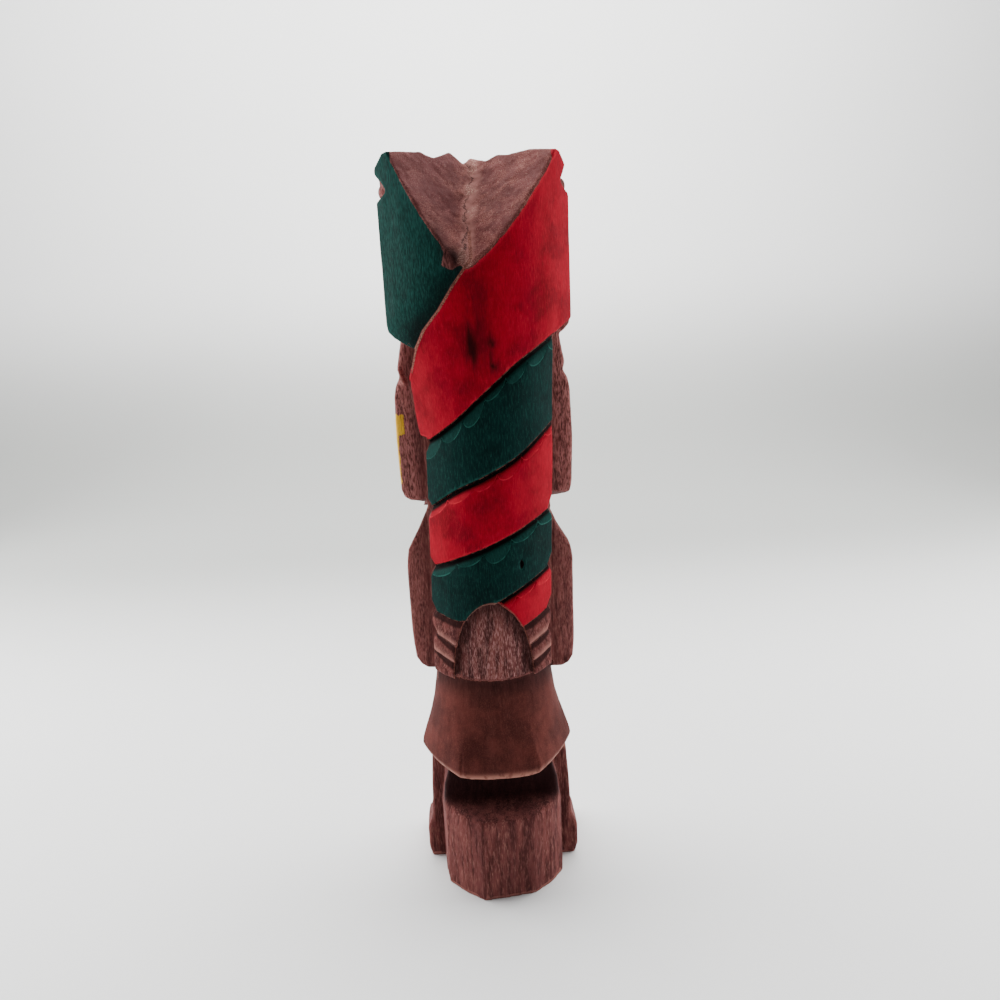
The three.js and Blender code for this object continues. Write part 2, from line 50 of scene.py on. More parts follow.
HEAD = {"half": 34.3, "back": 28.0, "round": 18.0, "power": 2.4}
COLUMN = {"half": 24.2, "back": 27.0, "round": 13.0, "power": 2.2}
NECK_BOTTOM, NECK_TOP = 200.0, 245.0
HEADS_BOTTOM = 203.0
COLUMN_BOTTOM = 103.0
COLUMN_LEAN, COLUMN_PLUMB = -0.027, 145.0
COLUMN_FRONT = 11.0
PAINT_FRONT = 11.4
TUCK_HEIGHT = 3.6
SEAM_STATION = 12.0
SEAMS = {
    "neck": (199.6, 209.3, 220.0, 229.8, 237.5),
    "upper green": (173.8, 183.4, 189.6, 196.2, 205.3),
    "lower red": (150.3, 156.6, 162.0, 167.4, 172.5),
    "lower green": (131.8, 130.2, 137.6, 143.6, 149.0),
    "last red": (131.0, 125.5, 124.5, 126.6, 131.3),
    "first rattle": (121.8, 117.0, 115.0, 117.0, 121.0),
    "second rattle": (113.4, 109.3, 108.0, 108.6, 112.4),
}
# Each band below a seam: the seams above and below it, and the range of x that it spans.
# OUT is farther than any point of the pole.
OUT = 99.0
PAINTED_RUNS = (
    ("neck", "upper green", -OUT, OUT),
    ("upper green", "lower red", -OUT, OUT),
    ("lower red", "lower green", -OUT, OUT),
    ("lower green", "last red", -OUT, 0.0),
    ("lower green", "first rattle", 0.0, OUT),
)
RATTLE_RUNS = (
    ("last red", "first rattle", -OUT, 0.0),
    ("first rattle", "second rattle", -OUT, OUT),
)
RUNS = PAINTED_RUNS + RATTLE_RUNS
LAST_LIP = ("second rattle", None, -OUT, OUT)
NECK_EDGE = ((2.5, 266.5), (9.1, 258.0), (14.7, 249.7), (20.4, 243.0), (23.8, 236.4), (28.0, 222.0))
NECK_WALL_X, NECK_WALL_Z = 0.84, 0.54
NECK_BEVEL = {"width": 13.0, "depths": (0.2, 1.1, 1.8, 2.2, 2.5, 2.5)}
HOLLOW = {
    "foot": (4.6, 264.6), "rise": 0.98, "left flank": 1.12, "right flank": 0.88, "round": 2.6, "drift": 0.14,
}
HAT_PROFILE = (
    (57.5, 28.8), (59.4, 31.6), (62.4, 33.0), (66.0, 32.2), (72.0, 30.3), (79.0, 28.1), (86.0, 26.3),
    (97.0, 24.8), (104.0, 24.0),
)
HAT_SQUASH, HAT_MIDDLE, HAT_FACETS = 30.0 / 33.0, 0.7, 6
ARCH = {"middle": 1.0, "half": 16.0, "rise": 35.0}
WORM_HOLE = {"at": (-11.6, 153.0), "radii": (0.55, 1.35)}


def step(low, high, value):
    """0 below low, 1 above high, and a smooth curve between them."""
    t = np.clip((value - low) / (high - low), 0.0, 1.0)
    return t * t * (3.0 - 2.0 * t)


def back_of(plan, x):
    """How far back a rounded plan's surface lies at x."""
    return plan["back"] - plan["round"] * np.abs(x / plan["half"]) ** plan["power"]


def head_back(x, z):
    """The back of the heads, which narrow into the column through the red neck."""
    share = step(NECK_BOTTOM, NECK_TOP, z)
    return back_of(COLUMN, x) * (1.0 - share) + back_of(HEAD, x) * share


def column_middle(z):
    """The column's middle in x, because it leans a little to one side."""
    return COLUMN_LEAN * (z - COLUMN_PLUMB)


def seam_height(name, x):
    """A seam's height at x: a smooth curve through its five stations, which run from +X to -X."""
    heights = np.array(SEAMS[name])
    place = np.clip(2.0 - x / SEAM_STATION, -0.9, 4.9)
    start = np.clip(np.floor(place), 0, 3).astype(int)
    t = place - start
    a, b = heights[start], heights[start + 1]
    slope_in = (b - heights[np.maximum(start - 1, 0)]) / np.where(start > 0, 2.0, 1.0)
    slope_out = (heights[np.minimum(start + 2, 4)] - a) / np.where(start < 3, 2.0, 1.0)
    bend = 3.0 * (b - a) - 2.0 * slope_in - slope_out
    turn = slope_in + slope_out - 2.0 * (b - a)
    curve = a + t * slope_in + t * t * bend + t * t * t * turn
    return np.where(t < 0.0, a + slope_in * t, np.where(t > 1.0, b + slope_out * (t - 1.0), curve))


def beyond_neck_edge(x, z):
    """Distance from the red neck's upper edge, positive over the green head."""
    places, heights = np.array(NECK_EDGE[::-1]).T
    return NECK_WALL_X * (x - np.interp(z, heights, places))


def hollow_height(x, y):
    """The height of the hollow's surface between the two heads."""
    forward = HEAD["back"] - y
    aside = x - hollow_middle(y)
    flank = np.where(aside > 0.0, HOLLOW["left flank"], HOLLOW["right flank"])
    flank = flank * (np.hypot(aside, HOLLOW["round"]) - HOLLOW["round"])
    return HOLLOW["foot"][1] + HOLLOW["rise"] * forward + flank


def hollow_middle(y):
    """The hollow's lowest line in x, where the pith runs."""
    return HOLLOW["foot"][0] - HOLLOW["drift"] * (HEAD["back"] - y)


def past_hollow(points):
    """Distance above the hollow's surface between the heads."""
    x, y, z = points.T
    return z - hollow_height(x, y)


def past_arch(x, z):
    """Distance outside the arched panel at the bottom of the twist."""
    reach = np.hypot((x - ARCH["middle"]) / ARCH["half"], np.maximum(z - COLUMN_BOTTOM, 0.0) / ARCH["rise"])
    return (reach - 1.0) * 17.0


# ---------------------------------------------------------------- repeatable noise

def lattice(seed, cells):
    """A random value for each whole-numbered cell, the same on every run."""
    mixed = cells[..., 0] * 73856093 ^ cells[..., 1] * 19349663 ^ cells[..., 2] * 83492791 ^ seed * 2654435761
    mixed = (mixed ^ (mixed >> 13)) * 1274126177 & 0x7FFFFFFF
    mixed = (mixed ^ (mixed >> 11)) * 668265263 & 0x7FFFFFFF
    return (mixed ^ (mixed >> 15)) % 65536 / 32767.5 - 1.0


def noise(points, size, seed):
    """Smooth noise from -1 to 1 with features about size millimetres across."""
    scaled = points / np.asarray(size, float)
    low = np.floor(scaled).astype(np.int64)
    t = scaled - low
    t = t * t * (3.0 - 2.0 * t)
    total = np.zeros(len(points))
    for corner in np.ndindex(2, 2, 2):
        weight = np.ones(len(points))
        for axis, high in enumerate(corner):
            weight *= t[:, axis] if high else 1.0 - t[:, axis]
        total += weight * lattice(seed, low + np.array(corner))
    return total


# ---------------------------------------------------------------- the carved mesh

VOXEL = 0.00066
MOST_TRIANGLES = 190000
SOLE = 0.7
SCOOP_SEED = 31


def new_object(name, mesh):
    obj = bpy.data.objects.new(name, mesh)
    bpy.context.scene.collection.objects.link(obj)
    return obj


def evaluated_mesh(obj):
    """The mesh that an object's modifiers make. The modifiers are then removed."""
    made = bpy.data.meshes.new_from_object(obj.evaluated_get(bpy.context.evaluated_depsgraph_get()))
    obj.modifiers.clear()
    return made


def points_of(mesh):
    """The vertices' places in millimetres."""
    flat = np.empty(len(mesh.vertices) * 3, np.float32)
    mesh.vertices.foreach_get("co", flat)
    return flat.reshape(-1, 3).astype(float) * 1000.0


def move_points(mesh, points):
    mesh.vertices.foreach_set("co", (points / 1000.0).astype(np.float32).ravel())
    mesh.update()


def normals_of(mesh):
    flat = np.empty(len(mesh.vertices) * 3, np.float32)
    mesh.vertex_normals.foreach_get("vector", flat)
    return flat.reshape(-1, 3).astype(float)


class Neighbours:
    """Averages over the vertices that share an edge with each vertex."""

    def __init__(self, mesh):
        edges = np.empty(len(mesh.edges) * 2, np.int32)
        mesh.edges.foreach_get("vertices", edges)
        self.ends = edges.reshape(-1, 2)
        self.count = np.maximum(np.bincount(edges, minlength=len(mesh.vertices)), 1)

    def mean(self, values):
        a, b = self.ends[:, 0], self.ends[:, 1]
        size = len(self.count)
        columns = [
            np.bincount(a, values[b, k], size) + np.bincount(b, values[a, k], size)
            for k in range(values.shape[1])
        ]
        return np.stack(columns, 1) / self.count[:, None]

    def relax(self, points, rounds, pull=0.5, push=0.0):
        """Evens the points out. With push, they are then moved back, so the form doesn't shrink."""
        for _ in range(rounds):
            points = points + pull * (self.mean(points) - points)
            if push:
                points = points - push * (self.mean(points) - points)
        return points


def even_mesh(node):
    """The CAD solid as a mesh of small even faces."""
    obj = new_object("totem_pole_carved", node.data.copy())
    obj.data.materials.clear()
    remesh = obj.modifiers.new("even", "REMESH")
    remesh.mode = "VOXEL"
    remesh.voxel_size = VOXEL
    remesh.adaptivity = 0.0
    obj.data = evaluated_mesh(obj)
    return obj


def rounded_back(points, normals):
    """Moves the back's facets onto the curve that they stand for."""
    x, y, z = points.T
    facing = normals[:, 1] > 0.25
    true = np.where(z > seam_height("neck", x), head_back(x, z), back_of(COLUMN, x - column_middle(z)))
    beyond = beyond_neck_edge(x, z)
    deepest = np.interp(z, np.array(NECK_EDGE[::-1])[:, 1], NECK_BEVEL["depths"][::-1])
    bevel = deepest * np.clip(1.0 - beyond / NECK_BEVEL["width"], 0.0, 1.0) ** 1.2
    on_head = (beyond > 0.6) & (z > 222.0)
    true = np.where(on_head, true - bevel, true)
    reach = np.where(on_head, 2.6, np.where(z > seam_height("neck", x) + 1.0, 0.9, 0.4))
    near = facing & (np.abs(true - y) < reach) & (z > COLUMN_BOTTOM)
    return np.stack([x, np.where(near & (z < hollow_height(x, y) - 0.6), true, y), z], 1)


def rounded_hat(points):
    """Moves the hat's facets onto the curve that they stand for, with the soft facets that it keeps."""
    x, y, z = points.T
    out = x - HAT_MIDDLE
    turn = np.arctan2(y / HAT_SQUASH, out) / math.pi * HAT_FACETS / 2.0 + 100.0
    flat = math.cos(math.pi / HAT_FACETS) / np.cos((turn % 1.0 - 0.5) * 2.0 * math.pi / HAT_FACETS)
    share = 0.62 * (flat - 1.0) * (1.0 - step(60.0, 90.0, z)) + 1.0
    radius = np.hypot(out, y / HAT_SQUASH) / share
    heights, radii = np.array(HAT_PROFILE).T
    fine = np.linspace(heights[0], heights[-1], 200)
    curve = np.interp(fine, heights, radii)
    # Three passes round off the corners of the hat's profile.
    for _ in range(3):
        curve[6:-1] = (curve[5:-2] + curve[6:-1] + curve[7:]) / 3.0
    wanted = np.interp(z, fine, curve)
    on_hat = (z > 60.0) & (z < 100.0) & (np.abs(radius - wanted) < 0.5)
    share = np.where(on_hat, wanted / np.maximum(radius, 1.0), 1.0)
    return np.stack([np.where(on_hat, HAT_MIDDLE + out * share, x), np.where(on_hat, y * share, y), z], 1)


def from_worm_hole(x, z):
    """Distance from the worm hole's middle, with 1 at its edge."""
    (middle, height), (across, up) = WORM_HOLE["at"], WORM_HOLE["radii"]
    return np.hypot((x - middle) / across, (z - height) / up)


def sharp_lips(points, normals):
    """Sets each band's lip, and the neck's edge over the green head, on its true line."""
    x, y, z = points.T.copy()
    surface = back_of(COLUMN, x - column_middle(z))
    under = (normals[:, 2] < -0.35) & (y > COLUMN_FRONT) & (y > surface - 3.2) & (past_arch(x, z) > 0.0)
    for above, _, low, high in RUNS:
        line = seam_height(above, x)
        z = np.where(under & (x > low) & (x < high) & (np.abs(z - line) < 0.75), line, z)
    beyond = beyond_neck_edge(x, z)
    wall = (normals @ np.array([NECK_WALL_X, 0.0, NECK_WALL_Z]) > 0.45) & (np.abs(beyond) < 0.8)
    shift = np.where(wall & (z > 224.0) & (z < 264.0) & (y > 12.0), beyond, 0.0)
    return np.stack([x - NECK_WALL_X * shift, y, z - NECK_WALL_Z * shift], 1)


def scallops(x, index):
    """How far down from a seam the row of knife scoops reaches at x."""
    place = x / (8.2 + 1.3 * (index % 3)) + 0.37 * index
    cell = np.floor(place).astype(np.int64)
    size = lattice(SCOOP_SEED, np.stack([cell, cell * 0 + index, cell * 0], -1))
    within = 2.0 * (place - cell) - 1.0
    return (4.6 + 1.9 * size) * np.sqrt(np.clip(1.0 - within**2, 0.0, 1.0)) + 1.2


def knife_work(points, normals):
    """Scooped bevels under the seams, and the small unevenness that a hand leaves."""
    x, y, z = points.T
    moved = points.copy()
    back = (normals[:, 1] > 0.2) & (y > COLUMN_FRONT)
    across = x - column_middle(z)
    surface = back_of(COLUMN, across)
    corner = np.full(len(points), OUT)
    for index, (above, below, low, high) in enumerate(RUNS):
        top = seam_height(above, x)
        tall = top - seam_height(below, x)
        down = top - z
        rattle = (above, below, low, high) in RATTLE_RUNS
        reach = 0.3 if rattle else np.minimum(scallops(x, index), 0.55 * tall)
        cut = 0.75 * np.clip(1.0 - down / np.maximum(reach, 0.3), 0.0, 1.0) ** 0.55
        cut += 1.3 * np.clip(1.0 - down / TUCK_HEIGHT, 0.0, 1.0) ** 1.2 * (not rattle)
        here = back & (x > low) & (x < high) & (down > 0.0) & (down < tall) & (y > surface - 4.5)
        here &= z < seam_height("neck", x)
        moved[:, 1] = np.where(here, np.minimum(moved[:, 1], surface - cut), moved[:, 1])
        corner = np.where((x > low) & (x < high), np.minimum(corner, np.abs(down)), corner)
    sides = (y > 7.6) & (z > COLUMN_BOTTOM + 3.0) & (z < HEADS_BOTTOM)
    widest = COLUMN["half"] - 2.3 * np.clip(1.0 - corner / 4.2, 0.0, 1.0)
    moved[:, 0] = np.where(sides, np.clip(across, -widest, widest) + column_middle(z), x)
    hole = from_worm_hole(x, z)
    moved[:, 1] -= np.where(back, 2.2 * np.clip(1.5 - hole, 0.0, 1.0), 0.0)
    low_down = step(0.0, 8.0, z)
    sway = np.stack([noise(points, 26.0, 1), noise(points, 26.0, 2), 0.6 * noise(points, 30.0, 3)], 1)
    moved += 0.25 * sway * low_down[:, None]
    dents = 0.14 * noise(points, (5.0, 5.0, 11.0), 4) + 0.07 * noise(points, (2.6, 2.6, 5.5), 5)
    moved += normals * (dents * low_down)[:, None]
    return moved


def grain_relief(points, normals):
    """Raised grain on the wood, with the open pores and the crack at the pith in the hollow."""
    x, y, z = points.T
    streaks = noise(points, (0.9, 0.9, 9.0), 21) + 0.6 * noise(points, (1.8, 1.8, 22.0), 22)
    hollow = (past_hollow(points) > -0.8) & (z > 262.0)
    pith = x - hollow_middle(y) + 1.1 * noise(points, 3.0, 23)
    crack = np.exp(-((pith / 0.9) ** 2)) * step(-0.1, 0.4, noise(points, (2.0, 2.6, 2.0), 24))
    facets = np.abs(noise(points, (8.0, 8.0, 10.0), 26)) + 0.5 * np.abs(noise(points, (3.6, 3.6, 4.4), 27))
    pits = 0.12 * noise(points, 1.3, 25) + 0.55 * facets - 0.35 - 0.3 * crack
    painted = (y > PAINT_FRONT) & (z > 130.0)
    plain = np.where(painted | ((z > 58.0) & (z < 101.0)), 0.015, 0.045)
    return points + normals * np.where(hollow, pits, plain * streaks)[:, None]


def inside_box(points, low, high):
    """Keeps the points just within the CAD box."""
    inset = 0.05
    return np.clip(points, np.array(low) * 1000.0 + inset, np.array(high) * 1000.0 - inset)


def softened_block(around, points):
    """Rounds the rim of the tail block's scoop, which has no sharp edge."""
    x, y, z = points.T
    share = step(10.0, 15.0, y) * step(30.0, 38.0, z) * (1.0 - step(52.0, 56.0, z)) * (np.abs(x) < 27.0)
    return points + (around.relax(points, 26, 0.6) - points) * share[:, None]


def carved_pole(node):
    """The pole's visible mesh, which keeps the CAD solid's form and box."""
    obj = even_mesh(node)
    mesh = obj.data
    around = Neighbours(mesh)
    points = around.relax(points_of(mesh), 2, 0.5, 0.5)
    move_points(mesh, points)
    points = rounded_back(points, normals_of(mesh))
    points = rounded_hat(points)
    points = softened_block(around, points)
    move_points(mesh, points)
    points = knife_work(points, normals_of(mesh))
    move_points(mesh, points)
    points = sharp_lips(points, normals_of(mesh))
    points = around.relax(points, 1, 0.4)
    move_points(mesh, points)
    points = grain_relief(points, normals_of(mesh))
    foot = points_of(mesh)[:, 2] < SOLE
    low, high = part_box("totem_pole")
    points = inside_box(points, low, high)
    points[foot, 2] = 0.0
    move_points(mesh, points)
    triangles = sum(len(p.vertices) - 2 for p in mesh.polygons)
    thin = obj.modifiers.new("thin", "DECIMATE")
    thin.ratio = min(1.0, MOST_TRIANGLES / triangles)
    obj.data = evaluated_mesh(obj)
    return obj


# ---------------------------------------------------------------- where each paint goes

FAR = 9.0
NECK_REAR = 16.5
# Paint on the carved front: how far forward it starts, its range of z, and its range of x to either side.
FRONT_PAINT = {
    "green": {
        "upper brows": (22.0, (270.5, 284.0), (5.0, 17.4)),
        "brows": (22.0, (212.6, 225.6), (-OUT, OUT)),
        "shoulders": (20.8, (147.6, 166.0), (15.5, OUT)),
        "lower brows": (22.0, (51.0, 61.0), (-OUT, 20.0)),
    },
    "red": {
        "upper lips": (21.2, (244.0, 254.0), (4.9, 14.0)),
        "lips": (21.3, (180.2, 194.0), (-OUT, 19.0)),
        "quills": (20.8, (102.0, 145.6), (15.5, OUT)),
        "lower lips": (21.2, (28.6, 38.2), (-OUT, 15.0)),
    },
    "yellow": {
        "beak": (21.4, (245.0, 277.5), (-OUT, 5.2)),
        "ears": (18.2, (201.0, 239.0), (23.6, OUT)),
    },
}
# Dark blooms and smudges: their strength, their middle in x and z, and their radii.
NECK_STAINS = (
    (1.0, (1.5, 241.0), (7.0, 12.0)),
    (0.8, (3.5, 234.0), (1.8, 6.0)),
    (0.9, (-4.1, 237.5), (2.2, 2.0)),
    (0.9, (-4.0, 229.8), (2.6, 2.0)),
    (0.5, (19.0, 214.0), (1.2, 9.0)),
    (0.45, (-1.0, 256.0), (7.0, 6.0)),
)
# At the hollow: a stain over the bare patch at its foot, and painted shade on its +X flank.
HOLLOW_STAIN_AND_SHADE = (
    (1.0, (7.5, 267.5), (5.5, 4.5)),
    (0.5, (13.0, 275.0), (3.0, 5.0)),
)


def smallest(*values):
    return np.minimum.reduce(np.broadcast_arrays(*values))


def largest(*values):
    return np.maximum.reduce(np.broadcast_arrays(*values))


def blobs(x, z, spots):
    """Soft round marks on the back, each full in its middle and fading to 0."""
    return sum(
        strength * np.exp(-(((x - middle[0]) / radii[0]) ** 2) - ((z - middle[1]) / radii[1]) ** 2)
        for strength, middle, radii in spots
    )


def back_paint(points, hollow, wander):
    """Signed distances to the red and to the green of the twisted bodies and their heads."""
    x, y, z = points.T
    seam = {name: seam_height(name, x) for name in SEAMS}
    column = y - PAINT_FRONT
    slab = np.where(z < 238.0, column, y - 3.0)
    rear_head = largest(y - 3.0, np.minimum(np.abs(x) - 18.4, z - 241.0))
    edge = beyond_neck_edge(x, z)
    bare_foot = smallest(12.4 - x, z - 263.6) + 1.6 * wander
    red_head = smallest(-edge + 2.0 * (y < NECK_REAR), z - seam["neck"], rear_head, slab)
    green_head = smallest(edge, z - 235.0, rear_head, slab, -bare_foot)
    outside = past_arch(x, z)
    green = largest(
        smallest(seam["neck"] - z, z - seam["upper green"], column),
        smallest(seam["lower red"] - z, z - seam["lower green"], column, outside),
    )
    red = largest(
        smallest(seam["upper green"] - z, z - seam["lower red"], column),
        smallest(seam["lower green"] - z, z - seam["last red"], column, -x, outside),
    )
    red = smallest(largest(red, red_head), -hollow - 1.1 + 0.5 * wander)
    red = largest(red, smallest(-27.3 - x, z - 291.0, y - 1.0) + 0.6 * wander)
    green = smallest(largest(green, green_head), -hollow - 0.6 + 0.3 * wander)
    green = largest(green, smallest(x - 28.0, z - 291.0, y - 1.0))
    eye = 3.6 - np.sqrt((np.abs(x) - 31.4) ** 2 + ((y - 1.0) * 0.7) ** 2 + (z - 291.0) ** 2)
    return smallest(red, -eye), smallest(green, -eye)


def yellow_patch(points, wander):
    """Signed distance to the yellow on the left side, with the drips that run down from it."""
    x, y, z = points.T
    below = np.maximum(np.abs(z - 197.5) - 11.5, 0.0)
    patch = smallest(x - 31.6, 8.0 - np.hypot(below, np.maximum(y + 4.4, 0.0)))
    spill = smallest(x - 30.6, 8.0 - y, z - 202.4, 210.6 - z)
    trickle = smallest(x - 33.3, 8.0 - y, z - 182.0, 204.0 - z)
    return largest(patch, spill + 0.4 * wander, trickle + 0.5 * wander)


def front_paint(name, points):
    """Signed distance to one colour's patches on the carved front."""
    x, y, z = points.T
    wide = np.abs(x)
    return largest(*(
        smallest(-y - forward, z - low, high - z, wide - inner, outer - wide)
        for forward, (low, high), (inner, outer) in FRONT_PAINT[name].values()
    ))


def paint_distances(points, normals):
    """Signed distances to the edges of each paint in millimetres, positive where the paint is."""
    x, y, z = points.T
    wander = 0.9 * noise(points, 4.0, 41) + 0.7 * noise(points, 1.6, 42)
    top_face = np.where(z > 284.0, 4.0 * (normals[:, 2] - 0.62), -FAR)
    hollow = largest(past_hollow(points) + 0.7, top_face)
    red, green = back_paint(points, hollow, wander)
    feathers = smallest(-y - 20.6, z - 283.5, 18.2 - np.abs(x))
    middle_feather = smallest(feathers, x + 5.6, 2.4 - x)
    side_feathers = smallest(feathers, largest(x - 3.0, -6.2 - x))
    return {
        "red": largest(red, front_paint("red", points)),
        "green": largest(green, front_paint("green", points), side_feathers),
        "yellow": largest(yellow_patch(points, wander), front_paint("yellow", points), middle_feather),
        "hollow": hollow,
    }


def stains_and_shade(points):
    """How dark each place is: blooms on the neck, a stain at the hollow's foot, painted shade on the hollow's
    +X flank and in the worm hole, and painted shadow under the hat.
    """
    x, y, z = points.T
    grain = 0.5 + 0.5 * noise(points, (1.1, 3.0, 7.0), 43)
    wine = blobs(x, z, NECK_STAINS)
    # Painted shade on the hollow's +X flank, then the stain at its foot.
    stain_and_shade_in_hollow = 0.28 * step(8.0, 16.0, x) * (z > 268.0) * (past_hollow(points) > -0.6)
    stain_and_shade_in_hollow = stain_and_shade_in_hollow + blobs(x, z, HOLLOW_STAIN_AND_SHADE)
    on_back = np.where(y > 9.0, wine * (0.42 + 0.6 * grain) + stain_and_shade_in_hollow * (0.6 + 0.6 * grain), 0.0)
    # Painted shadow under the hat's brim, in the tail block's scoop.
    shade_under_hat = step(36.5, 45.0, z) * (1.0 - step(57.0, 59.0, z)) * step(9.0, 12.5, y) * (np.abs(x) < 27.0)
    # Painted shade in the worm hole.
    hole = step(0.0, 0.5, 1.45 - from_worm_hole(x, z)) * (y > COLUMN_FRONT)
    return on_back + 1.1 * shade_under_hat + 1.6 * hole


def painted_light_on_faces(points):
    """Painted light on the slabs' backs, strongest near their outer edges, and on the green head's cheek."""
    x, y, z = points.T
    slab = (y > 6.3) & (y < 9.5) & (z < 240.0)
    light_and_shade = np.where(z > 172.0, 1.0, 0.45) * step(103.0, 108.0, z)
    light_and_shade = slab * (0.15 + 0.85 * step(24.5, 30.0, np.abs(x))) * light_and_shade
    cheek = (z > HEADS_BOTTOM) & (y > 3.0) & (past_hollow(points) < -0.8)
    return np.maximum(light_and_shade, step(1.0, 11.0, beyond_neck_edge(x, z)) * cheek)


def lips_and_scoops(points):
    """Distances below and above the nearest lip, and past the nearest scoop's lower end."""
    x, y, z = points.T
    under_lip = np.full(len(points), FAR)
    over_lip = np.full(len(points), FAR)
    scoop = np.full(len(points), FAR - 1.0)
    for index, (above, _, low, high) in enumerate(PAINTED_RUNS):
        gap = z - seam_height(above, x)
        here = (x > low) & (x < high) & (gap < 0.0) & (gap > -14.0) & (y > PAINT_FRONT)
        scoop = np.where(here, -gap - scallops(x, index), scoop)
    for above, _, low, high in (*RUNS, LAST_LIP):
        gap = z - seam_height(above, x)
        here = (x > low) & (x < high)
        under_lip = np.where(here, np.minimum(under_lip, np.maximum(-gap, 4.0 * gap)), under_lip)
        over_lip = np.where(here, np.minimum(over_lip, np.maximum(gap, -4.0 * gap)), over_lip)
    # Under the rattles' lips the shadow reaches lowest about 18 mm to each side, as two scoops leave it.
    across = np.clip((np.abs(x) - 11.5) / 12.5, 0.0, 1.0)
    sag = np.where((z < 124.0) & (under_lip > 0.4), 1.6 - 6.4 * across * (1.0 - across), 0.0)
    return under_lip + sag, over_lip, scoop


def marks(points):
    """Distances to the bare lines, lips and scoops, the strength of the stains and painted shade, and of the
    painted light.
    """
    x, y, z = points.T
    under_lip, over_lip, scoop = lips_and_scoops(points)
    on_column = (y > COLUMN_FRONT) & (z > COLUMN_BOTTOM + 0.5)
    outside = past_arch(x, z)
    banded = on_column & (z < 240.0) & (outside > 0.4)
    beyond = beyond_neck_edge(x, z)
    # Above 96 mm the slabs' lower ends stand beside the hat, so only its middle counts there.
    hat = (z < 102.6) & ((np.abs(x) < 24.5) | (z < 96.0))
    return {
        "under_lip": np.where(banded, under_lip, FAR),
        "over_lip": np.where(banded, over_lip, FAR),
        "neck": np.where((y > NECK_REAR) & (z > HEADS_BOTTOM), beyond, np.where(beyond > 3.0, FAR, -FAR)),
        "brim": past_hollow(points),
        "arch": np.where(on_column & (z < 140.0), outside, FAR),
        "stain_and_shade": stains_and_shade(points),
        "worn": painted_light_on_faces(points),
        "hat": np.where(hat, z - 57.0, -30.0) / 6.0,
        "scoop": scoop,
    }


def add_fields(obj):
    """Stores each distance on the mesh's points, where the material reads it."""
    mesh = obj.data
    points = points_of(mesh)
    normals = normals_of(mesh)
    around = Neighbours(mesh)
    fields = paint_distances(points, normals)
    fields.update(marks(points))
    finely = around.relax(points, 3, 0.6)
    fields["edge"] = np.einsum("ij,ij->i", points - finely, normals)
    broadly = around.relax(finely, 40, 0.7)
    crease = np.einsum("ij,ij->i", broadly - points, normals)
    slab_back = (points[:, 1] > 5.0) & (points[:, 1] < 9.0)
    fields["crease"] = np.where(slab_back, 0.3, 1.0) * crease
    aside = points[:, 0] - hollow_middle(points[:, 1])
    fields["pith"] = np.where(past_hollow(points) > -1.5, aside, FAR)
    for name, values in fields.items():
        attribute = mesh.attributes.new(name, "FLOAT", "POINT")
        attribute.data.foreach_set("value", np.clip(values, -FAR, FAR).astype(np.float32))


# ---------------------------------------------------------------- material

PAINTS = {
    "red": {"dark": (94, 3, 17), "mid": (154, 8, 33), "light": (198, 38, 54), "rim wear and highlight": 1.0},
    "green": {"dark": (2, 16, 17), "mid": (5, 36, 34), "light": (34, 86, 77), "rim wear and highlight": 0.3},
    "yellow": {"dark": (166, 112, 18), "mid": (216, 164, 36), "light": (232, 190, 84), "rim wear and highlight": 1.0},
}


class Graph:
    """Builds a material's nodes. A number, colour or other node's output can feed an input."""

    def __init__(self, name):
        self.material = bpy.data.materials.new(name)
        self.material.use_nodes = True
        self.tree = self.material.node_tree
        self.tree.nodes.clear()

    def add(self, kind, inputs=(), **settings):
        node = self.tree.nodes.new(kind)
        for key, value in settings.items():
            setattr(node, key, value)
        for key, value in dict(inputs).items():
            self.feed(node.inputs[key], value)
        return node

    def feed(self, socket, value):
        if isinstance(value, bpy.types.NodeSocket):
            self.tree.links.new(value, socket)
        else:
            socket.default_value = value

    def math(self, operation, a, b=0.0):
        return self.add("ShaderNodeMath", {0: a, 1: b}, operation=operation).outputs[0]

    def scaled(self, vector, factors):
        node = self.add("ShaderNodeVectorMath", {0: vector, 1: factors}, operation="MULTIPLY")
        return node.outputs[0]

    def noise(self, vector, scale, detail=3.0, rough=0.55):
        inputs = {"Vector": vector, "Scale": scale, "Detail": detail, "Roughness": rough}
        return self.add("ShaderNodeTexNoise", inputs).outputs["Fac"]

    def ramp(self, value, low, high, to_low=0.0, to_high=1.0):
        inputs = {"Value": value, "From Min": low, "From Max": high, "To Min": to_low, "To Max": to_high}
        return self.add("ShaderNodeMapRange", inputs, interpolation_type="SMOOTHSTEP").outputs["Result"]

    def mix(self, share, a, b):
        return self.add("ShaderNodeMix", {0: share, 6: a, 7: b}, data_type="RGBA").outputs[2]

    def field(self, name):
        return self.add("ShaderNodeAttribute", attribute_name=name).outputs["Fac"]

    def bump(self, height, strength, distance):
        inputs = {"Height": height, "Strength": strength, "Distance": distance}
        return self.add("ShaderNodeBump", inputs).outputs[0]

    def surface(self, look, rough, bump, shine):
        """Gives the material its surface, and returns it."""
        inputs = {"Base Color": look, "Roughness": rough, "Normal": bump, "Specular IOR Level": shine}
        shader = self.add("ShaderNodeBsdfPrincipled", inputs)
        output = self.add("ShaderNodeOutputMaterial")
        self.tree.links.new(shader.outputs[0], output.inputs[0])
        return self.material


def colour(r, g, b):
    """An sRGB colour, 0 to 255, as the linear colour that a shader takes."""
    linear = [(c / 255.0) / 12.92 if c <= 10 else ((c / 255.0 + 0.055) / 1.055) ** 2.4 for c in (r, g, b)]
    return (*linear, 1.0)


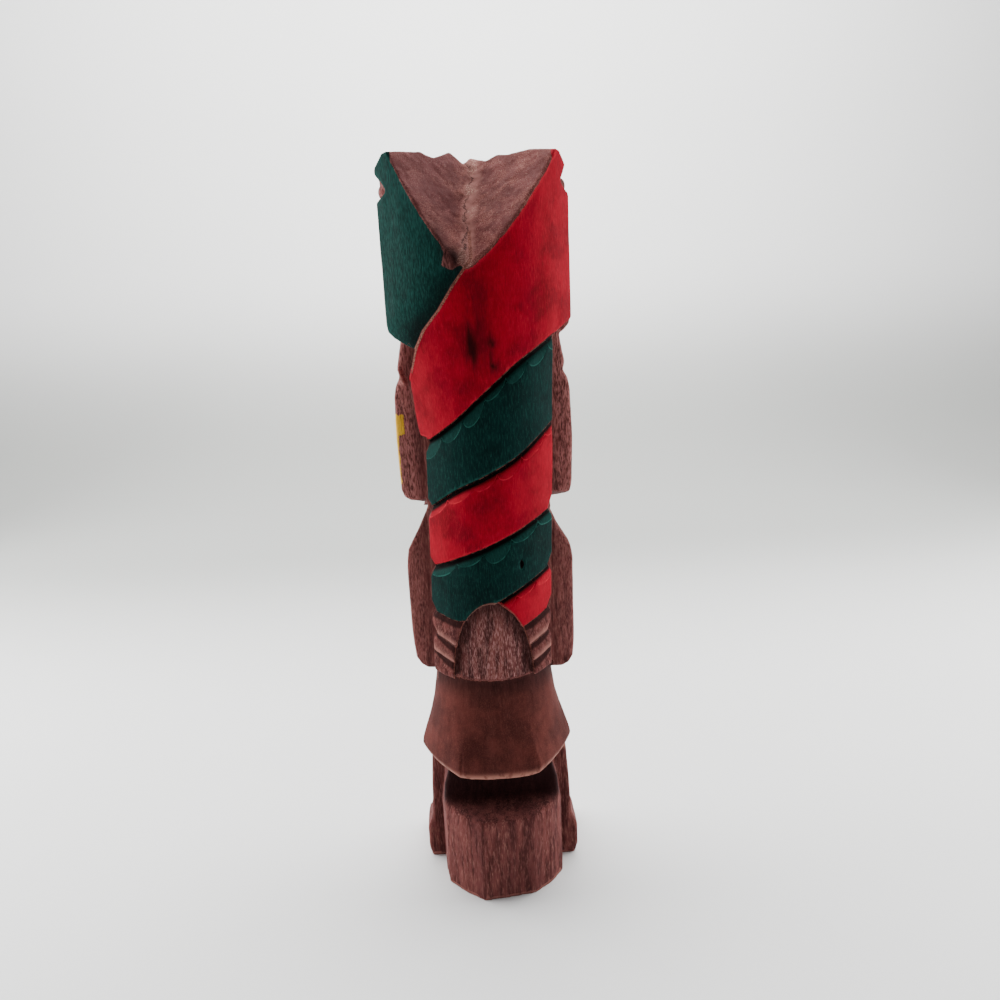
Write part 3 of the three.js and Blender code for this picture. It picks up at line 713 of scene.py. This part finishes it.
def patterns(g):
    """The noise and the stored distances that several parts of the pole's material share."""
    p = SimpleNamespace()
    p.place = g.scaled(g.add("ShaderNodeTexCoord").outputs["Object"], (1000.0, 1000.0, 1000.0))
    along = g.scaled(p.place, (1.0, 1.0, 0.12))
    p.fine = g.noise(along, 2.1, 4.0, 0.62)
    p.streak = g.noise(along, 0.5, 3.0, 0.55)
    p.broad = g.noise(g.scaled(p.place, (1.0, 1.0, 0.035)), 0.13, 2.0, 0.5)
    p.pores = g.noise(g.scaled(p.place, (1.0, 1.0, 0.2)), 3.4, 2.0, 0.5)
    p.hair = g.noise(g.scaled(p.place, (1.0, 1.0, 0.16)), 2.9, 3.0, 0.6)
    p.blotch = g.noise(p.place, 0.075, 3.0, 0.6)
    p.chunk = g.noise(p.place, 0.17, 2.0, 0.5)
    p.speck = g.noise(p.place, 2.3, 3.0, 0.65)
    p.dust = g.noise(p.place, 3.1, 1.0, 0.5)
    p.ragged = g.math("MULTIPLY", g.math("SUBTRACT", p.speck, 0.5), 1.1)
    p.edge = g.field("edge")
    p.worn = g.field("worn")
    p.on_hat = g.ramp(g.field("hat"), -0.4, 0.4)
    p.in_hollow = g.ramp(g.field("hollow"), -0.9, -0.5)
    p.shaded = g.math("MULTIPLY", g.ramp(g.field("crease"), 0.55, 1.9), g.math("SUBTRACT", 1.0, p.in_hollow))
    return p


def long_grain(g, p):
    """Reddish wood that is cut along its grain, with dark streaks and open pores."""
    wood = g.mix(g.ramp(p.streak, 0.36, 0.64), colour(70, 34, 33), colour(110, 60, 57))
    wood = g.mix(g.ramp(p.fine, 0.46, 0.74, 0.0, 0.8), wood, colour(154, 101, 94))
    wood = g.mix(g.ramp(p.broad, 0.42, 0.66, 0.0, 0.4), wood, colour(62, 29, 32))
    return g.mix(g.ramp(p.pores, 0.6, 0.72, 0.0, 0.6), wood, colour(40, 15, 17))


def hat_wood(g, p):
    """The hat's smoother wood, pale along the brim, partly worn and partly a painted highlight, and with
    painted shade at its top, under the rattles.
    """
    hat = g.field("hat")
    wood = g.mix(g.ramp(p.blotch, 0.36, 0.64), colour(60, 24, 21), colour(86, 40, 35))
    wood = g.mix(g.ramp(p.speck, 0.46, 0.72, 0.0, 0.4), wood, colour(118, 66, 57))
    # Painted shade at the hat's top, under the rattles.
    wood = g.mix(g.ramp(hat, 5.6, 7.4, 0.0, 0.75), wood, colour(26, 8, 8))
    # The brim's lower edge is paler: partly wear, partly a painted highlight.
    rim = g.math("MULTIPLY", g.ramp(hat, 1.1, 0.3), g.ramp(p.streak, 0.36, 0.5, 0.35, 0.75))
    return g.mix(rim, wood, colour(188, 132, 116))


def end_grain(g, p):
    """Broken end grain in the hollow, with a split along the pith and pale splinters beside it."""
    wood = g.mix(g.ramp(p.speck, 0.34, 0.66), colour(98, 50, 46), colour(152, 96, 88))
    wood = g.mix(g.ramp(p.blotch, 0.38, 0.62, 0.0, 0.55), wood, colour(96, 44, 46))
    wood = g.mix(g.ramp(p.dust, 0.62, 0.72, 0.0, 0.5), wood, colour(206, 160, 146))
    pith = g.math("ADD", g.field("pith"), g.math("MULTIPLY", g.math("SUBTRACT", p.chunk, 0.5), 8.0))
    # Painted shade on the hollow's +X flank.
    wood = g.mix(g.ramp(pith, 1.0, 7.0, 0.0, 0.4), wood, colour(84, 48, 52))
    wood = g.mix(g.ramp(p.chunk, 0.45, 0.58, 0.0, 0.5), wood, colour(86, 44, 44))
    by_pith = g.math("MULTIPLY", g.ramp(pith, -4.5, -1.0), g.ramp(pith, 3.0, 0.5, 0.0, 0.8))
    wood = g.mix(by_pith, wood, colour(158, 106, 98))
    split = g.math("ADD", pith, g.math("MULTIPLY", g.math("SUBTRACT", p.speck, 0.5), 3.4))
    crack = g.math("MULTIPLY", g.ramp(split, 0.0, 0.5), g.ramp(split, 1.1, 0.6))
    crack = g.math("MULTIPLY", crack, g.ramp(p.blotch, 0.44, 0.54, 0.35, 1.0))
    wood = g.mix(crack, wood, colour(50, 20, 21))
    splinters = g.math("MULTIPLY", g.ramp(pith, -3.4, -1.2), g.ramp(pith, 2.2, 0.4))
    splinters = g.math("MULTIPLY", splinters, g.ramp(p.blotch, 0.52, 0.42))
    splinters = g.math("MULTIPLY", splinters, g.ramp(p.dust, 0.56, 0.62, 0.0, 0.85))
    return g.mix(splinters, wood, colour(222, 176, 158))


def bare_wood(g, p):
    """All the wood without paint, with painted light on the slabs and the rattles' lower parts, edges paler
    as wear and painted highlight, and painted shade where the carving shades it.
    """
    wood = g.mix(g.math("MULTIPLY", p.on_hat, 0.85), long_grain(g, p), hat_wood(g, p))
    wood = g.mix(p.in_hollow, wood, end_grain(g, p))
    # Convex edges are paler, partly as wear and partly as a painted highlight.
    wood = g.mix(g.ramp(p.edge, 0.12, 0.3, 0.0, 0.55), wood, colour(164, 108, 98))
    # Painted light: paler streaky wood on the slabs' backs, most near their outer edges.
    rubbed = g.math("MULTIPLY", p.worn, g.ramp(p.hair, 0.38, 0.64, 0.0, 0.85))
    wood = g.mix(rubbed, wood, colour(182, 116, 112))
    # Painted light on the lowest part of each band, just above its lip.
    wood = g.mix(g.ramp(g.field("over_lip"), 4.2, 0.8, 0.0, 0.5), wood, colour(172, 118, 108))
    arch = g.field("arch")
    in_arch = g.ramp(arch, 0.2, -0.05)
    pale_fibres = g.math("MULTIPLY", in_arch, g.ramp(p.hair, 0.48, 0.62, 0.0, 0.7))
    wood = g.mix(pale_fibres, wood, colour(172, 122, 118))
    dark_fibres = g.math("MULTIPLY", in_arch, g.ramp(p.streak, 0.5, 0.38, 0.0, 0.4))
    wood = g.mix(dark_fibres, wood, colour(42, 17, 19))
    # Painted shade: inside the arch's edge, and a little below each lip.
    arch_rim = g.math("MULTIPLY", g.ramp(arch, -6.0, -0.6, 0.0, 0.75), in_arch)
    recess = g.ramp(g.field("under_lip"), 4.2, 2.9, 0.0, 0.85)
    wood = g.mix(g.math("MAXIMUM", arch_rim, recess), wood, colour(34, 11, 11))
    return g.mix(g.math("MULTIPLY", p.shaded, 0.75), wood, colour(26, 7, 7))


def rubbed_lines(g, p):
    """Where thin lines are rubbed bare: on the lips, round the arch and along the neck's edge."""
    patchy = g.ramp(g.noise(p.place, 0.6, 2.0, 0.5), 0.42, 0.56)

    def line(name, low, high):
        """1 inside a thin line that lies between two values of a distance field."""
        value = g.math("ADD", g.field(name), g.math("MULTIPLY", p.ragged, 0.4))
        inside_low, inside_high = g.ramp(value, low - 0.15, low + 0.1), g.ramp(value, high + 0.15, high - 0.1)
        return g.math("MULTIPLY", inside_low, inside_high)

    lips = g.math("MULTIPLY", line("over_lip", -0.6, 0.4), g.math("MULTIPLY", patchy, 0.7))
    lines = g.math("MAXIMUM", lips, g.math("MULTIPLY", line("arch", 0.0, 0.4), 0.7))
    return g.math("MAXIMUM", lines, line("neck", -0.7, 0.25))


def paint_light_and_shade(g, p):
    """Where every paint is pale or dark: painted light on its scoops and their ridges, the hollow's rim,
    rubbed and with a painted highlight, and painted shadows.
    """
    light_and_shade = SimpleNamespace()
    scoop = g.math("ADD", g.field("scoop"), g.math("MULTIPLY", p.ragged, 0.5))
    # Painted light: the knife scoops' faces are paler.
    light_and_shade.scooped = g.ramp(scoop, 0.1, -0.1, 0.0, 0.28)
    # Painted highlight along the lower rim of each scoop.
    ridge = g.math("MULTIPLY", g.ramp(scoop, -0.45, -0.1), g.ramp(scoop, 0.3, 0.05))
    light_and_shade.ridge = g.math("MULTIPLY", ridge, g.ramp(g.noise(p.place, 0.22, 2.0, 0.5), 0.44, 0.56, 0.1, 0.9))
    # The hollow's rim: rubbed paint, and a painted highlight on its chamfer.
    brim = g.field("brim")
    chafe = g.math("MULTIPLY", g.ramp(brim, -3.6, -2.0), g.ramp(brim, -0.4, -1.2))
    light_and_shade.chafe = g.math("MULTIPLY", chafe, g.ramp(p.speck, 0.36, 0.56, 0.15, 0.6))
    # Only the green side of the neck's edge is in its shadow, so the red side is moved far away.
    neck = g.field("neck")
    neck = g.math("ADD", neck, g.ramp(neck, 0.0, -0.3, 0.0, 20.0))
    light_and_shade.by_neck = g.ramp(neck, 7.0, 0.2, 0.0, 0.45)
    # Painted shadow under each lip, and painted shade in the creases.
    gap = g.ramp(g.field("under_lip"), 2.9, 1.5)
    light_and_shade.shadow = g.math("MAXIMUM", gap, g.math("MULTIPLY", p.shaded, 0.85))
    return light_and_shade


def paint_look(g, p, light_and_shade, paint):
    """One paint's colour, with uneven brushwork, painted light on scoops, edges and the cheek, a rubbed and
    highlighted rim, and painted shadows.
    """
    dark, mid, light = colour(*paint["dark"]), colour(*paint["mid"]), colour(*paint["light"])
    black = colour(9, 3, 4)
    shade = g.mix(g.ramp(p.blotch, 0.3, 0.6, 0.35, 1.0), dark, mid)
    shade = g.mix(g.ramp(p.fine, 0.5, 0.82, 0.0, 0.3), shade, light)
    shade = g.mix(g.ramp(p.fine, 0.46, 0.3, 0.0, 0.35), shade, dark)
    # Painted light on the scoops, and convex edges paler, partly as wear and partly as a painted highlight.
    shade = g.mix(g.math("MAXIMUM", light_and_shade.scooped, g.ramp(p.edge, 0.09, 0.24, 0.0, 0.4)), shade, light)
    shade = g.mix(g.ramp(p.hair, 0.5, 0.68, 0.0, 0.24), shade, light)
    shade = g.mix(g.ramp(p.hair, 0.46, 0.32, 0.0, 0.35), shade, dark)
    # Painted light, in streaks, on the green head's cheek and the slabs' edges.
    shade = g.mix(g.math("MULTIPLY", p.worn, g.ramp(p.hair, 0.38, 0.64, 0.1, 0.4)), shade, light)
    # The hollow's rim, rubbed and with a painted highlight.
    shade = g.mix(g.math("MULTIPLY", light_and_shade.chafe, paint["rim wear and highlight"]), shade, light)
    # Painted shade by the neck's edge, and painted shadow under the lips and in the creases.
    shade = g.mix(light_and_shade.by_neck, shade, black)
    shade = g.mix(light_and_shade.shadow, shade, black)
    shade = g.mix(g.ramp(p.pores, 0.64, 0.74, 0.0, 0.5), shade, dark)
    # Painted highlight on the scoops' ridges, and pale specks of dust.
    return g.mix(g.math("MAXIMUM", light_and_shade.ridge, g.ramp(p.dust, 0.7, 0.76, 0.0, 0.45)), shade, light)


def grain_height(g, p, paint):
    """The fine grain's height, which is lower under paint and on the hat, and rough in the hollow."""
    height = g.math("ADD", g.math("MULTIPLY", p.fine, 0.55), g.math("MULTIPLY", p.streak, 0.5))
    height = g.math("SUBTRACT", height, g.ramp(p.pores, 0.6, 0.72, 0.0, 0.5))
    height = g.math("MULTIPLY", height, g.ramp(paint, 0.0, 1.0, 1.0, 0.45))
    height = g.math("MULTIPLY", height, g.ramp(p.on_hat, 0.0, 1.0, 1.0, 0.35))
    height = g.math("MULTIPLY", height, g.ramp(p.in_hollow, 0.0, 1.0, 1.0, 0.0))
    return g.math("ADD", height, g.math("MULTIPLY", p.speck, g.ramp(p.in_hollow, 0.0, 1.0, 0.0, 1.5)))


def painted_wood():
    """Reddish wood with its grain, and the red, green and yellow paint over it, as one material."""
    g = Graph("painted_wood")
    p = patterns(g)
    light_and_shade = paint_light_and_shade(g, p)
    bare = rubbed_lines(g, p)
    chafed = g.mix(g.ramp(p.speck, 0.4, 0.62), colour(84, 38, 34), colour(152, 98, 84))
    look = g.mix(g.math("MULTIPLY", bare, 0.85), bare_wood(g, p), chafed)
    any_paint = 0.0
    for name, paint in PAINTS.items():
        there = g.ramp(g.math("ADD", g.field(name), p.ragged), -0.12, 0.12)
        there = g.math("MULTIPLY", there, g.math("SUBTRACT", 1.0, bare))
        look = g.mix(there, look, paint_look(g, p, light_and_shade, paint))
        any_paint = g.math("MAXIMUM", any_paint, there)
    # The stains, and painted shade and shadow, darken the colour.
    look = g.mix(g.ramp(g.field("stain_and_shade"), 0.1, 1.1, 0.0, 0.92), look, colour(22, 4, 6))
    rough = g.math("ADD", g.ramp(any_paint, 0.0, 1.0, 0.7, 0.72), g.ramp(p.fine, 0.3, 0.7, -0.06, 0.1))
    return g.surface(look, rough, g.bump(grain_height(g, p, any_paint), 0.5, 0.0002), 0.05)


# ---------------------------------------------------------------- the stage

# The camera stands behind the pole, turned by FACING, and is tipped and rolled.
FACING = math.radians(2.5)
CAMERA_PITCH = math.radians(16.16)
CAMERA_ROLL = math.radians(-2.49)
CAMERA_SIDE, CAMERA_AWAY, CAMERA_HEIGHT = -0.0053, 0.306, 0.261
CAMERA_LENS = 28.08
SWEEP_TURN, SWEEP_RADIUS, SWEEP_TOP = -0.62, 0.5, 2.2
LAMP_AIM = (0.0, 0.0, 0.15)
SIDE_LAMP_SIZE = (0.5, 0.8)


def sweep_material():
    """Pale paper, with painted shade where it starts to curve up and painted light above."""
    g = Graph("sweep")
    place = g.add("ShaderNodeTexCoord").outputs["Object"]
    cloud = g.noise(place, 9.0, 4.0, 0.5)
    shade = g.mix(cloud, (0.74, 0.742, 0.735, 1.0), (0.78, 0.78, 0.775, 1.0))
    parts = g.add("ShaderNodeSeparateXYZ", {0: place}).outputs
    # Painted shade where the sheet starts to curve up.
    far = g.math("MULTIPLY", g.ramp(parts[1], -0.1, -0.45), g.ramp(parts[2], 0.3, 0.02))
    shade = g.mix(far, shade, (0.36, 0.365, 0.352, 1.0))
    # Painted light on the upper part of the sheet.
    shade = g.mix(g.ramp(parts[2], 0.1, 0.5), shade, (0.97, 0.97, 0.96, 1.0))
    return g.surface(shade, 0.7, g.bump(cloud, 0.05, 0.001), 0.2)


def sweep():
    """A pale sheet that lies flat under the pole and curves up far behind it."""
    profile = [(1.6, 0.0), (0.4, 0.0), (-0.3, 0.0), (SWEEP_TURN, 0.0)]
    for i in range(1, 17):
        turn = math.pi / 2.0 * i / 16.0
        rise = SWEEP_RADIUS * (1.0 - math.cos(turn))
        profile.append((SWEEP_TURN - SWEEP_RADIUS * math.sin(turn), rise))
    profile.append((SWEEP_TURN - SWEEP_RADIUS, SWEEP_TOP))
    across = [-2.2, -1.1, 0.0, 1.1, 2.2]
    vertices = [(x, y, z) for y, z in profile for x in across]
    wide = len(across)
    faces = [
        (r * wide + c, (r + 1) * wide + c, (r + 1) * wide + c + 1, r * wide + c + 1)
        for r in range(len(profile) - 1)
        for c in range(wide - 1)
    ]
    mesh = bpy.data.meshes.new("sweep")
    mesh.from_pydata(vertices, [], [face[::-1] for face in faces])
    mesh.shade_smooth()
    mesh.materials.append(sweep_material())
    return new_object("sweep", mesh)


def soft_light(name, spot, aim, size, power):
    """A rectangular lamp at spot, in metres, that faces aim."""
    lamp = bpy.data.lights.new(name, "AREA")
    lamp.shape = "RECTANGLE"
    lamp.size, lamp.size_y = size
    lamp.energy = power
    obj = new_object(name, lamp)
    obj.location = spot
    obj.rotation_euler = (Vector(aim) - Vector(spot)).to_track_quat("-Z", "Y").to_euler()


def photo_camera():
    """The camera, which looks at the pole's back from a little above."""
    camera = bpy.data.cameras.new("camera")
    camera.sensor_fit = "HORIZONTAL"
    camera.sensor_width = 36.0
    camera.lens = CAMERA_LENS
    camera.clip_start = 0.01
    obj = new_object("camera", camera)
    level = Vector((-math.sin(FACING), -math.cos(FACING), 0.0))
    ahead = level * math.cos(CAMERA_PITCH) - Vector((0.0, 0.0, math.sin(CAMERA_PITCH)))
    right0 = ahead.cross(Vector((0.0, 0.0, 1.0))).normalized()
    up0 = right0.cross(ahead)
    right = right0 * math.cos(CAMERA_ROLL) + up0 * math.sin(CAMERA_ROLL)
    up = up0 * math.cos(CAMERA_ROLL) - right0 * math.sin(CAMERA_ROLL)
    spot = Vector((
        CAMERA_SIDE * math.cos(FACING) + CAMERA_AWAY * math.sin(FACING),
        -CAMERA_SIDE * math.sin(FACING) + CAMERA_AWAY * math.cos(FACING),
        CAMERA_HEIGHT,
    ))
    turn = Matrix((right, up, -ahead)).transposed().to_4x4()
    obj.matrix_world = Matrix.Translation(spot) @ turn
    bpy.context.scene.camera = obj


def soft_world():
    """Faint even light from all round."""
    world = bpy.data.worlds.new("soft")
    world.use_nodes = True
    inputs = world.node_tree.nodes["Background"].inputs
    inputs["Color"].default_value = (0.95, 0.97, 1.0, 1.0)
    inputs["Strength"].default_value = 0.19
    bpy.context.scene.world = world


pole = carved_pole(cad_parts["totem_pole"])
add_fields(pole)
pole.data.materials.append(painted_wood())
pole.data.shade_smooth()
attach(pole, "root")
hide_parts("totem_pole")

sweep()
soft_world()
soft_light("left", (0.62, -0.2, 0.34), LAMP_AIM, SIDE_LAMP_SIZE, 9.0)
soft_light("right", (-0.62, -0.14, 0.36), LAMP_AIM, SIDE_LAMP_SIZE, 7.0)
soft_light("top", (0.0, -0.4, 1.1), (0.0, -0.1, 0.1), (1.4, 0.8), 28.0)
soft_light("backdrop", (0.0, -0.4, 1.0), (0.0, -1.12, 0.8), (1.6, 0.5), 24.0)
photo_camera()
